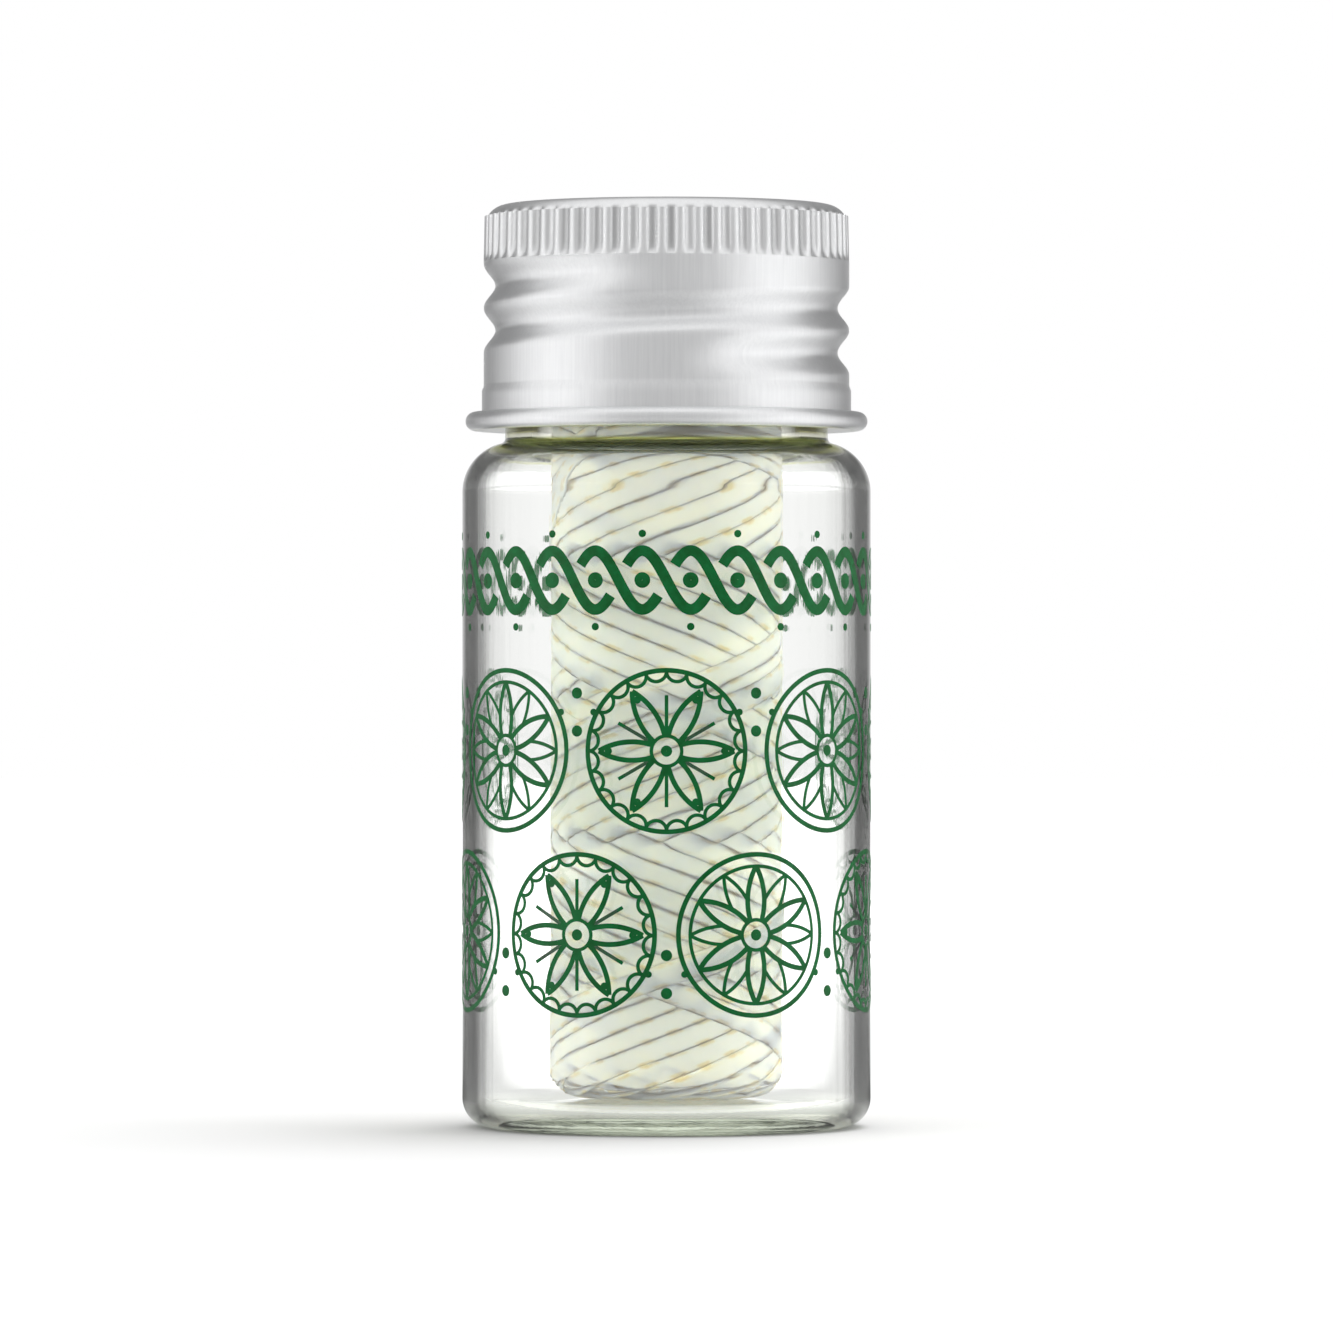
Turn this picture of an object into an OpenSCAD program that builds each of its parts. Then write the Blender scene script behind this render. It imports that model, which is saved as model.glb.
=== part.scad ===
// Floss dispenser: a round glass vial with a rolled aluminium screw cap.
// Inside are a loose cross-wound bobbin of floss and a neck plug that
// carries a stamped cutter. The origin is the middle of the foot, +Z is up.

/* [Vial] */
// Outside diameter of the glass body
vial_d = 22; // [20:0.5:26]
// Height of the glass, foot to rim
vial_h = 47.15; // [40:0.05:60]
// Thickness of the body wall
vial_wall = 1.1; // [0.8:0.05:1.4]
// Thickness of the glass floor
floor_t = 1.1; // [0.8:0.1:2]
// Height that the middle of the floor is pushed up
pushup_h = 0.5; // [0.3:0.1:1.2]
// Radius of the rounded foot
foot_r = 2.1; // [1.6:0.1:3]
// Radius of the rounded shoulder
shoulder_r = 2.7; // [2.2:0.1:3.2]
// Height of the neck above the shoulder
neck_h = 10.05; // [9:0.05:12]
// Distance of the neck from the body's side
shoulder_w = 2.3; // [2:0.05:3]
// Thickness of the neck's wall
neck_wall = 1.5; // [1.2:0.05:2]
// Radius of the hollow between the neck and the shoulder
neck_hollow_r = 0.5; // [0.3:0.1:0.8]
// Radius of the glass inside the root of the neck
neck_root_r = 1; // [0.6:0.1:1.2]
// Radius of the rolled rim
rim_r = 0.5; // [0.3:0.05:0.7]

/* [Screw cap] */
// Thickness of the aluminium sheet
cap_wall = 0.25; // [0.2:0.01:0.35]
// Distance that the lower bead stands out from the skirt
bead_out = 0.88; // [0.6:0.02:1.2]
// Thickness of the lower bead
bead_t = 1; // [0.7:0.05:1.2]
// Distance that the plain skirt stands out from the threaded band
skirt_out = 0.1; // [0.02:0.02:0.2]
// Radius of the top edge
crown_r = 1.2; // [0.8:0.1:1.5]
// Height of the knurled band
knurl_h = 2.5; // [1.6:0.1:2.8]
// Number of flutes in the knurled band
knurl_count = 62; // [40:2:72]
// Depth of one flute
knurl_depth = 0.2; // [0.08:0.02:0.24]
// Rise of the rolled thread in one turn
thread_pitch = 2.4; // [2:0.1:2.6]
// Number of turns of the rolled thread
thread_turns = 2; // [1.5:0.25:2]
// Depth of the rolled thread
thread_depth = 0.63; // [0.4:0.01:0.7]
// Height of the thread's low end above the bead's underside
thread_low_h = 3.6; // [3.2:0.05:4]
// Azimuth of the thread's low end, in degrees
thread_start_a = -90; // [-180:10:180]
// Length over which the thread runs out, in degrees
thread_runout_a = 45; // [30:5:60]

/* [Liner] */
// Thickness of the foam disc
liner_t = 1.2; // [0.8:0.1:1.4]
// Rounding of the disc's edge
liner_edge_r = 0.15; // [0.05:0.05:0.3]

/* [Neck plug] */
// Distance of the flange's edge from the edge of the rim
flange_inset = 0.4; // [0.1:0.05:0.6]
// Thickness of the flange
flange_t = 0.9; // [0.7:0.05:1.1]
// Depth of the plug below the rim
plug_depth = 5.2; // [4.6:0.1:6]
// Thickness of the plug's skirt
plug_wall = 1.2; // [0.9:0.1:1.5]
// Thickness of the plug's web
web_t = 1.3; // [1:0.1:1.6]
// Thickness of the plug round the recess in the top
recess_wall = 1.4; // [1:0.1:1.8]
// Depth of the recess in the top
recess_h = 1.8; // [1.6:0.05:2]
// Height by which the sealing ribs stand out
rib_h = 0.12; // [0.08:0.02:0.2]
// Width of one sealing rib
rib_w = 0.5; // [0.3:0.05:0.7]
// Number of sealing ribs
rib_count = 3; // [2:1:4]
// Diameter of the hole that the floss runs through
eyelet_d = 1.2; // [1:0.05:1.5]
// Distance of the hole from the axis
eyelet_x = 2.2; // [1.8:0.1:2.8]

/* [Cutter] */
// Thickness of the steel
cutter_t = 0.3; // [0.2:0.02:0.34]
// Width of the raised tongue
tongue_w = 2.4; // [1.8:0.1:2.8]
// Length of the raised tongue
tongue_l = 2.9; // [2.4:0.1:3]
// Clear width beside the tongue
tongue_gap = 0.5; // [0.3:0.05:0.7]
// Width of the notch in the tongue's tip
notch_w = 0.9; // [0.5:0.1:1.2]
// Depth of the notch in the tongue's tip
notch_l = 0.7; // [0.4:0.1:0.9]
// Depth of the two legs pressed into the plug
leg_h = 0.8; // [0.5:0.05:0.9]
// Width of one leg
leg_w = 1.4; // [1:0.1:1.8]

/* [Floss] */
// Diameter of the hole left by the winding mandrel
bobbin_bore_d = 3.2; // [2.4:0.1:4]
// Rounding of the bobbin's lower end
low_end_r = 1.8; // [1:0.1:2.4]
// Rounding of the bobbin's upper end
top_end_r = 0.9; // [0.6:0.1:1.6]
// Diameter of the floss
floss_d = 0.6; // [0.5:0.02:0.62]
// Number of passes, up or down, in the outer layer
pass_count = 9; // [3:2:9]
// Number of turns in one pass
pass_turns = 2.4; // [1.4:0.5:2.4]

/* [Clearances] */
// Gap between the shoulder and the cap's lower bead
bead_gap = 0.4; // [0.2:0.05:1.2]
// Radial gap between the neck and the rolled thread
thread_play = 0.27; // [0.15:0.01:0.4]
// Gap between the top of the bobbin and the plug
head_gap = 4.2; // [4.2:0.1:9]
// Radial gap that lets the bobbin in through the neck
bobbin_play = 0.97; // [0.6:0.01:1.6]
// Radial play of the plug's ribs in the neck
plug_play = 0.06; // [0.03:0.01:0.1]
// Radial gap between the steel disc and the recess
cutter_play = 0.3; // [0.1:0.05:0.5]
// Gap between the tongue's tip and the level of the flange's top
tongue_play = 0.15; // [0.05:0.05:0.3]
// Gap between flat faces that rest on each other
seat_gap = 0.05; // [0.02:0.01:0.1]
// Play round the cutter's legs
leg_play = 0.05; // [0.03:0.01:0.1]
// Clear gap between the floss and the pieces that it passes
floss_play = 0.12; // [0.08:0.02:0.2]
// Radial gap where strands of the outer layer cross
cross_gap = 0.46; // [0.42:0.01:0.6]

/* [Hidden] */
$fn = 96;
overrun = 0.5;
knurl_draft = 0.05;

// Heights and radii that the pieces share
vial_r = vial_d / 2;
neck_r = vial_r - shoulder_w;
bore_r = neck_r - neck_wall;
shoulder_z = vial_h - neck_h;
shoulder_c = [vial_r - shoulder_r, shoulder_z - shoulder_r];
flange_top_z = vial_h + seat_gap + flange_t;
web_top_z = flange_top_z - recess_h;
web_low_z = web_top_z - web_t;
plug_low_z = vial_h - plug_depth;
liner_z = flange_top_z + seat_gap;
cap_top_z = liner_z + liner_t + seat_gap + cap_wall;
cap_z = shoulder_z + bead_gap;
bobbin_z = floor_t + pushup_h + seat_gap;
bobbin_top_z = plug_low_z - head_gap;
band_r = neck_r + thread_play + cap_wall + thread_depth;
skirt_r = band_r + skirt_out;
crown_x = band_r - knurl_draft - crown_r;
liner_r = crown_x + liner_edge_r;
rib_r = bore_r - plug_play;
plug_r = rib_r - rib_h;
recess_r = plug_r - recess_wall;
cutter_r = recess_r - cutter_play;
bobbin_r = bore_r - bobbin_play;

// Vial: rounding of the floor's inner corner, and where the foot's flat ring ends
inner_foot_r = foot_r - vial_wall / 2;
foot_flat_share = 0.86;
arc_steps = 7;

// Cap: points in one ring, and the shares that shape its profile
cap_steps = 62;
crown_steps = 3;
bead_steps = 6;
bead_ends_a = [110, -100];
thread_rows = 14;
knurl_blend_share = 0.15;
knurl_top_share = 0.42;

// Plug: height of the chamfered lead-in and places of the ribs
lead_in_h = 0.4;
eyelet_mouth_d = 2 * eyelet_d;
rib_first_share = 0.3;

// Cutter: place of the legs, and the tongue's slope
leg_place_share = 0.82;
tongue_a = asin((recess_h - 2 * cutter_t - tongue_play) / tongue_l);

// Floss: section and rings of one turn, how fast the ends turn round, and the side that rings start from
strand_sides = 6;
lead_sides = 8;
turn_rings = 24;
turnback_a = 30;
aside_winding = [0, 0, 1];
aside_lead = [1, -1, -1];
r_floss = floss_d / 2;
inner_pass_h = floss_play + r_floss;
outer_pass_h = inner_pass_h + floss_d + cross_gap;
core_r = bobbin_r - r_floss - outer_pass_h;
wind_low = bobbin_z + r_floss;
wind_high = bobbin_top_z - r_floss;

// Route of the floss from the bobbin through the plug to the cutter, with heights from the top of the web
lead_points = [
    [-3, -4.9, -7.9], [-3, -4.4, -7.1], [-2.9, -3.5, -6], [-2.6, -2.2, -4.5], [-2.3, -0.8, -2.7],
    [-2.2, 0, -1.2], [-2.2, 0, 0.1], [-2.15, -0.05, 0.55], [-1.8, -0.25, 0.75], [-1.1, -0.6, 0.7],
    [-0.3, -0.85, 0.65], [0.4, -0.8, 0.65], [0.85, -0.35, 0.65], [0.95, 0.3, 0.65], [0.95, 1, 0.65],
    [1.1, 1.8, 0.65], [1.5, 2.7, 0.65], [2.1, 3.5, 0.65]
];
wind_start_a = atan2(lead_points[0].y, lead_points[0].x) - 360 * pass_count * pass_turns;

// Points of an arc about c, from angle a to angle b
function arc(c, r, a, b, steps = arc_steps) =
    [for (i = [0:steps]) let (t = a + (b - a) * i / steps) c + r * [cos(t), sin(t)]];

// Points of a shallow dome from its rim inwards, of rim radius rim, rise h and lowest height z
function dome(rim, h, z) =
    let (ball = (rim * rim + h * h) / (2 * h))
    [for (i = [0:arc_steps]) let (r = rim * (1 - i / arc_steps))
        [r, z + h - ball + sqrt(ball * ball - r * r)]];

// A number from 0 to 1 that follows t smoothly
function ease(t) = let (u = max(0, min(1, t))) u * u * (3 - 2 * u);

function reversed(list) = [for (i = [len(list) - 1:-1:0]) list[i]];

// The glass: a drawn tube with a pushed-up floor, a round shoulder and a thick neck
module vial() {
    hollow_r = shoulder_r + neck_hollow_r;
    hollow_x = neck_r + neck_hollow_r;
    hollow_c = [hollow_x, shoulder_c.y + sqrt(hollow_r * hollow_r - pow(hollow_x - shoulder_c.x, 2))];
    hollow_a = atan2(hollow_c.y - shoulder_c.y, hollow_c.x - shoulder_c.x);
    inner_r = vial_r - vial_wall;
    inner_top_z = shoulder_z - vial_wall;
    inner_shoulder_r = shoulder_r - vial_wall;
    foot_c = [vial_r - foot_r, foot_r];
    inner_foot_c = [inner_r - inner_foot_r, floor_t + inner_foot_r];
    root_r = min(neck_root_r, inner_r - inner_shoulder_r - bore_r);
    root_c = [bore_r + root_r, inner_top_z + root_r];
    outline = concat(
        reversed(dome(foot_c.x * foot_flat_share, pushup_h, 0)),
        arc(foot_c, foot_r, -90, 0),
        arc(shoulder_c, shoulder_r, 0, hollow_a),
        arc(hollow_c, neck_hollow_r, hollow_a - 180, -180),
        arc([neck_r - rim_r, vial_h - rim_r], rim_r, 0, 90),
        arc([bore_r + rim_r, vial_h - rim_r], rim_r, 90, 180),
        arc(root_c, root_r, 180, 270),
        arc([inner_r - inner_shoulder_r, inner_top_z - inner_shoulder_r], inner_shoulder_r, 90, 0),
        arc(inner_foot_c, inner_foot_r, 0, -90),
        dome(inner_foot_c.x * foot_flat_share, pushup_h, floor_t)
    );
    color([0.86, 0.92, 0.9, 0.35])
        rotate_extrude()
            polygon(outline);
}

// Depth of the rolled thread at azimuth a and height z: a cosine groove that climbs to the right
function groove(a, z) =
    let (first = (a - thread_start_a) % 360,
         from_start = first < 0 ? first + 360 : first,
         whole = 360 * thread_turns)
    thread_depth * max([for (turn = [0:ceil(thread_turns)])
        let (along = from_start + 360 * turn,
             off = z - cap_z - thread_low_h - thread_pitch * along / 360,
             fade = ease(along / thread_runout_a) * ease((whole - along) / thread_runout_a))
        abs(off) < thread_pitch / 2 ? fade * (1 + cos(360 * off / thread_pitch)) / 2 : 0]);

// One ring of the cap's wall: plain radius r at height z, drawn in by the thread or by flutes
function cap_ring(r, z, threaded = false, steps = cap_steps) =
    [for (i = [0:steps - 1]) let (a = 360 * i / steps, q = r - (threaded ? groove(a, z) : 0))
        [q * cos(a), q * sin(a), z]];

function fluted_ring(r, z) =
    [for (i = [0:2 * knurl_count - 1]) let (a = 180 * i / knurl_count, q = r - (i % 2) * knurl_depth)
        [q * cos(a), q * sin(a), z]];

// Triangles between ring a of m points at index p and ring b of n points at index q
function strip(p, m, q, n) =
    m >= n ? stitch(p, m, q, n, false) : stitch(q, n, p, m, true);

// Walks both rings at once, and takes a step on the short ring where the long one has passed it
function stitch(p, m, q, n, flip) =
    [for (i = [0:m - 1])
        let (here = floor(i * n / m), next = floor((i + 1) * n / m),
             a = p + i, b = p + (i + 1) % m, c = q + here % n, d = q + next % n)
        each concat([turned([a, b, c], flip)], next > here ? [turned([b, d, c], flip)] : [])];

function turned(t, flip) = flip ? [t[0], t[2], t[1]] : t;

// The cap: one sheet with a knurled crown, a rolled thread, a plain skirt and a curled bead
module screw_cap() {
    inner_r = band_r - cap_wall;
    bead_r = bead_t / 2;
    bead_c = [skirt_r + bead_out - bead_r, cap_z + bead_r];
    crown_c = [crown_x, cap_top_z - crown_r];
    inner_crown_r = crown_r - cap_wall;
    knurl_in_x = crown_r - knurl_depth - cap_wall;
    knurl_top_z = cap_top_z - crown_r * knurl_top_share;
    knurl_low_z = knurl_top_z - knurl_h;
    knurl_blend = knurl_h * knurl_blend_share;
    thread_low_z = cap_z + thread_low_h - thread_pitch / 2;
    thread_high_z = knurl_low_z - knurl_blend;
    band = [for (i = [0:thread_rows]) thread_low_z + (thread_high_z - thread_low_z) * i / thread_rows];
    crown = arc(crown_c, crown_r, 90, asin(1 - knurl_top_share), crown_steps);
    inner_crown = arc(crown_c, inner_crown_r, acos(knurl_in_x / inner_crown_r), 90, crown_steps);
    bead = arc(bead_c, bead_r, bead_ends_a[0], bead_ends_a[1], bead_steps);
    rings = concat(
        [for (p = crown) cap_ring(p.x, p.y)],
        [fluted_ring(band_r - knurl_draft, knurl_top_z - knurl_blend)],
        [fluted_ring(band_r, knurl_low_z)],
        [for (z = reversed(band)) cap_ring(band_r, z, true)],
        [cap_ring(skirt_r, thread_low_z - knurl_blend)],
        [cap_ring(skirt_r, bead_c.y + bead_r)],
        [for (p = bead) cap_ring(p.x, p.y)],
        [cap_ring(skirt_r - cap_wall, cap_z + bead_r)],
        [for (z = band) cap_ring(inner_r, z, true)],
        [cap_ring(crown_x + knurl_in_x, knurl_low_z + knurl_blend)],
        [for (p = inner_crown) cap_ring(p.x, p.y)]
    );
    starts = [for (k = 0, at = 0; k < len(rings); at = at + len(rings[k]), k = k + 1) at];
    total = starts[len(rings) - 1] + len(rings[len(rings) - 1]);
    last = len(rings) - 1;
    points = concat([for (ring = rings) each ring], [[0, 0, cap_top_z], [0, 0, cap_top_z - cap_wall]]);
    top_fan = [for (i = [0:cap_steps - 1]) [total, (i + 1) % cap_steps, i]];
    inner_fan = [for (i = [0:cap_steps - 1])
        [total + 1, starts[last] + i, starts[last] + (i + 1) % cap_steps]];
    wall = [for (k = [0:last - 1]) each strip(starts[k], len(rings[k]), starts[k + 1], len(rings[k + 1]))];
    color([0.86, 0.87, 0.88])
        polyhedron(points, concat(top_fan, inner_fan, wall));
}

// The foam disc that the cap presses on the plug
module cap_liner() {
    edge_x = liner_r - liner_edge_r;
    outline = concat(
        [[0, liner_z]],
        arc([edge_x, liner_z + liner_edge_r], liner_edge_r, -90, 0),
        arc([edge_x, liner_z + liner_t - liner_edge_r], liner_edge_r, 0, 90),
        [[0, liner_z + liner_t]]
    );
    color([0.95, 0.95, 0.93])
        rotate_extrude()
            polygon(outline);
}

// The moulded plug: a flange on the rim, a ribbed skirt in the bore and a web with the eyelet
module neck_plug() {
    flange_r = neck_r - flange_inset;
    hollow_r = plug_r - plug_wall;
    flange_low_z = vial_h + seat_gap;
    rib_step = plug_depth * (1 - rib_first_share) / rib_count;
    color([0.93, 0.94, 0.93])
        difference() {
            union() {
                rotate_extrude()
                    polygon([
                        [0, web_low_z], [hollow_r, web_low_z], [hollow_r, plug_low_z],
                        [plug_r - lead_in_h, plug_low_z], [plug_r, plug_low_z + lead_in_h],
                        [plug_r, flange_low_z], [flange_r, flange_low_z],
                        [flange_r, flange_top_z], [recess_r, flange_top_z],
                        [recess_r, web_top_z], [0, web_top_z]
                    ]);
                for (i = [0:rib_count - 1])
                    translate([0, 0, vial_h - rib_step * (i + 1)])
                        plug_rib();
            }
            translate([-eyelet_x, 0, web_low_z - overrun])
                cylinder(d = eyelet_d, h = web_t + 2 * overrun);
            translate([-eyelet_x, 0, web_low_z - overrun])
                cylinder(d1 = eyelet_mouth_d + 2 * overrun, d2 = eyelet_d, h = overrun + web_t / 2);
            for (side = [-1, 1])
                translate([0, side * cutter_r * leg_place_share, web_top_z - leg_h])
                    leg_block(leg_play, leg_h + overrun);
        }
}

module plug_rib() {
    root_r = plug_r - plug_wall / 2;
    rotate_extrude()
        polygon([
            [root_r, 0], [plug_r, 0], [rib_r, rib_w / 3],
            [rib_r, rib_w * 2 / 3], [plug_r, rib_w], [root_r, rib_w]
        ]);
}

// A leg of the cutter, or with play added its slot
module leg_block(play, h) {
    translate([-leg_w / 2 - play, -cutter_t / 2 - play, -play])
        cube([leg_w + 2 * play, cutter_t + 2 * play, h + play]);
}

// The stamped steel disc: a floss hole, a punched window and the notched tongue bent up out of it
module cutter() {
    hinge_x = tongue_l + tongue_gap;
    window_w = tongue_w + 2 * tongue_gap;
    color([0.78, 0.79, 0.8]) {
        translate([0, 0, web_top_z])
            difference() {
                cylinder(r = cutter_r, h = cutter_t);
                translate([-eyelet_x, 0, -overrun])
                    cylinder(d = eyelet_d, h = cutter_t + 2 * overrun);
                translate([0, -window_w / 2, -overrun])
                    cube([hinge_x, window_w, cutter_t + 2 * overrun]);
            }
        translate([hinge_x, 0, web_top_z + cutter_t * sin(tongue_a)])
            rotate([0, tongue_a, 0])
                linear_extrude(cutter_t)
                    polygon([
                        [cutter_t, -tongue_w / 2], [cutter_t, tongue_w / 2],
                        [-tongue_l + notch_l, tongue_w / 2], [-tongue_l, notch_w / 2],
                        [-tongue_l + notch_l, 0],
                        [-tongue_l, -notch_w / 2], [-tongue_l + notch_l, -tongue_w / 2]
                    ]);
        for (side = [-1, 1])
            translate([0, side * cutter_r * leg_place_share, web_top_z - leg_h])
                leg_block(0, leg_h + cutter_t / 2);
    }
}

// The inner layers of the bobbin, with the hole that the mandrel left
module floss_core() {
    bore = bobbin_bore_d / 2;
    color([0.93, 0.92, 0.87])
        rotate_extrude()
            polygon(concat(
                [[bore, bobbin_z]],
                arc([core_r - low_end_r, bobbin_z + low_end_r], low_end_r, -90, 0),
                arc([core_r - top_end_r, bobbin_top_z - top_end_r], top_end_r, 0, 90),
                [[bore, bobbin_top_z]]
            ));
}

// Radius at height z of the line that lies h outside the core, which is rounded at both ends
function wrap(z, h) =
    let (end_r = z < bobbin_z + low_end_r ? low_end_r : top_end_r,
         off_end = max(0, bobbin_z + low_end_r - z, z - bobbin_top_z + top_end_r))
    core_r - end_r + sqrt(pow(end_r + h, 2) - off_end * off_end);

// Share of a pass's height at share u of its turns: steady, and eased over share e at both ends
function climb(u, e) =
    (u < e ? u * u / (2 * e) : u > 1 - e ? 1 - e - (1 - u) * (1 - u) / (2 * e) : u - e / 2) / (1 - e);

// Centre of the strand after s turns: up passes lie outside, down passes inside
function wind_point(s) =
    let (pass = min(floor(s / pass_turns), pass_count - 1),
         u = s / pass_turns - pass,
         e = turnback_a / 360 / pass_turns,
         up = pass % 2 == 0,
         first = pass == 0 ? 1 : (1 + ease(u / e)) / 2,
         last = pass == pass_count - 1 ? 1 : (1 + ease((1 - u) / e)) / 2,
         lifted = min(first, last),
         h = inner_pass_h + (outer_pass_h - inner_pass_h) * (up ? lifted : 1 - lifted),
         z = wind_low + (wind_high - wind_low) * (up ? climb(u, e) : 1 - climb(u, e)),
         r = wrap(z, h),
         a = wind_start_a + 360 * s)
    [r * cos(a), r * sin(a), z];

// Rings of a tube of radius r along a list of points, turned by a direction that the path never takes
function tube_rings(path, r, sides, aside) =
    [for (i = [0:len(path) - 1])
        let (ahead = path[min(i + 1, len(path) - 1)] - path[max(i - 1, 0)],
             t = ahead / norm(ahead),
             u = cross(t, aside) / norm(cross(t, aside)),
             v = cross(u, t))
        for (k = [0:sides - 1]) path[i] + r * (cos(360 * k / sides) * u + sin(360 * k / sides) * v)];

module tube(path, r, sides, aside) {
    n = len(path);
    wall = [for (i = [0:n - 2], k = [0:sides - 1])
        let (a = i * sides + k, b = i * sides + (k + 1) % sides)
        each [[a, a + sides, b], [b, a + sides, b + sides]]];
    low_cap = [for (k = [1:sides - 2]) [0, k, k + 1]];
    top = (n - 1) * sides;
    high_cap = [for (k = [1:sides - 2]) [top, top + k + 1, top + k]];
    polyhedron(tube_rings(path, r, sides, aside), concat(wall, low_cap, high_cap));
}

// The least clear gap between stretches of the strand that are at least half a turn apart
function least_gap(path) =
    min([for (i = [0:len(path) - 1]) let (far = i + turn_rings / 2) if (far < len(path))
        min([for (j = [far:len(path) - 1]) norm(path[i] - path[j])])]) - floss_d;

// The outer layer of the bobbin, cross-wound in one strand
module floss_winding() {
    rings = round(pass_count * pass_turns * turn_rings);
    path = [for (i = [0:rings]) wind_point(i / turn_rings)];
    echo(least_gap_mm = least_gap(path));
    color([0.95, 0.94, 0.88])
        tube(path, r_floss, strand_sides, aside_winding);
}

// The running end: up from the bobbin, through the eyelet and under the tongue
module floss_lead() {
    color([0.96, 0.95, 0.9])
        translate([0, 0, web_top_z])
            tube(lead_points, r_floss, lead_sides, aside_lead);
}

vial();
screw_cap();
cap_liner();
neck_plug();
cutter();
floss_core();
floss_winding();
floss_lead();
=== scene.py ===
# Floss dispenser: a round glass vial with a rolled aluminium screw cap, a neck plug that
# carries the cutter, and a loose bobbin of waxed floss. Shapes are worked out in
# millimetres up from the foot and go into the meshes in metres.
import bmesh
import bpy
import numpy as np
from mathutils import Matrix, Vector


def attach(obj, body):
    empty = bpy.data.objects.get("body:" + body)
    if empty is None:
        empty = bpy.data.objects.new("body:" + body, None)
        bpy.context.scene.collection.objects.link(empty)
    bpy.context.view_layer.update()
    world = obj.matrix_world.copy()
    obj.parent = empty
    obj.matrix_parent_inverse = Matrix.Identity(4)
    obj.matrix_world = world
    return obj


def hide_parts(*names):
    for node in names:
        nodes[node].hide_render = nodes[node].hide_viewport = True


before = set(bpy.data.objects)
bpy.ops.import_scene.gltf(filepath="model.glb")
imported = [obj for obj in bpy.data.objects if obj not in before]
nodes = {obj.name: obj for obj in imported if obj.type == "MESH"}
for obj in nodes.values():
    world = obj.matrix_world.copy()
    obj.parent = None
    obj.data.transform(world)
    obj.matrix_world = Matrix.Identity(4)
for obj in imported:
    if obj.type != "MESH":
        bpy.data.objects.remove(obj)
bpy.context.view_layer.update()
scene = bpy.context.scene
mm = 0.001
weldGap = 1e-7  # metres
white = (1, 1, 1, 1)
print("stage: frame loaded with", len(nodes), "nodes")


# Quads between neighbours of a grid: the last column joins the first, and rows do if wrapped
def gridFaces(rows, cols, wrapRows=False):
    i = np.arange(rows if wrapRows else rows - 1)[:, None]
    j = np.arange(cols)[None, :]
    nextRow, nextCol = (i + 1) % rows, (j + 1) % cols
    corners = [i * cols + j, i * cols + nextCol, nextRow * cols + nextCol, nextRow * cols + j]
    return np.stack(np.broadcast_arrays(*corners), axis=-1).reshape(-1, 4)


# Puts arrays of points and faces into a new object that rides on a CAD body. Marks are values
# at the points, and from sharp degrees on an edge stays hard.
def makePiece(name, points, faces, material, body, replaced=(), uv=None, marks=None,
              weld=False, sharp=None):
    mesh = bpy.data.meshes.new(name)
    mesh.from_pydata(np.asarray(points).reshape(-1, 3) * mm, [], faces)
    loopPoints = np.zeros(len(mesh.loops), np.int32)
    mesh.loops.foreach_get("vertex_index", loopPoints)
    if uv is not None:
        layer = mesh.uv_layers.new(name="along")
        layer.data.foreach_set("uv", np.asarray(uv, float).reshape(-1, 2)[loopPoints].ravel())
    for key, values in (marks or {}).items():
        mark = mesh.attributes.new(key, "FLOAT", "POINT")
        mark.data.foreach_set("value", np.asarray(values, float).ravel())
    if weld:
        work = bmesh.new()
        work.from_mesh(mesh)
        bmesh.ops.remove_doubles(work, verts=work.verts, dist=weldGap)
        work.to_mesh(mesh)
        work.free()
    mesh.shade_smooth()
    if sharp:
        mesh.set_sharp_from_angle(angle=np.radians(sharp))
    mesh.materials.append(material)
    piece = bpy.data.objects.new(name, mesh)
    scene.collection.objects.link(piece)
    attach(piece, body)
    if replaced:
        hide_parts(*replaced)
    return piece


# Points of an arc about (cx, cz) from one angle to another, in degrees
def arc(cx, cz, r, fromA, toA, steps=16):
    t = np.radians(np.linspace(fromA, toA, steps + 1))
    return np.stack([cx + r * np.cos(t), cz + r * np.sin(t)], axis=-1)


# Length of a path from its start to each of its points: the sum of the steps between them
def runLengths(path):
    return np.concatenate([[0], np.cumsum(np.linalg.norm(np.diff(path, axis=0), axis=1))])


# Straight runs of a profile are cut up so that no two points lie further apart than step, and
# a point that lies nearer than a small share of it to the one before is dropped
def fillIn(profile, step, tooNear=0.08):
    profile = np.asarray(profile, float)
    lengths = runLengths(profile)
    keep = np.concatenate([[True], np.diff(lengths) > 1e-6])
    profile, lengths = profile[keep], lengths[keep]
    at = np.union1d(np.round(lengths, 6), np.round(np.arange(0, lengths[-1], step), 6))
    at = at[np.concatenate([[True], np.diff(at) > step * tooNear])]
    return np.stack([np.interp(at, lengths, profile[:, k]) for k in (0, 1)], axis=-1)


# Radius and height turned about the axis by an angle a: x = r cos a, y = r sin a
def turned(r, z, angles):
    r, z, a = np.broadcast_arrays(r, z, angles)
    return np.stack([r * np.cos(a), r * np.sin(a), z], axis=-1)


# Angles of the columns of a closed grid, evenly apart
def fullTurn(count):
    return np.linspace(0, 2 * np.pi, count, endpoint=False)


# Smooth step from 0 to 1: three times the square less twice the cube
def ease(t):
    u = np.clip(t, 0, 1)
    return u * u * (3 - 2 * u)


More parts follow.
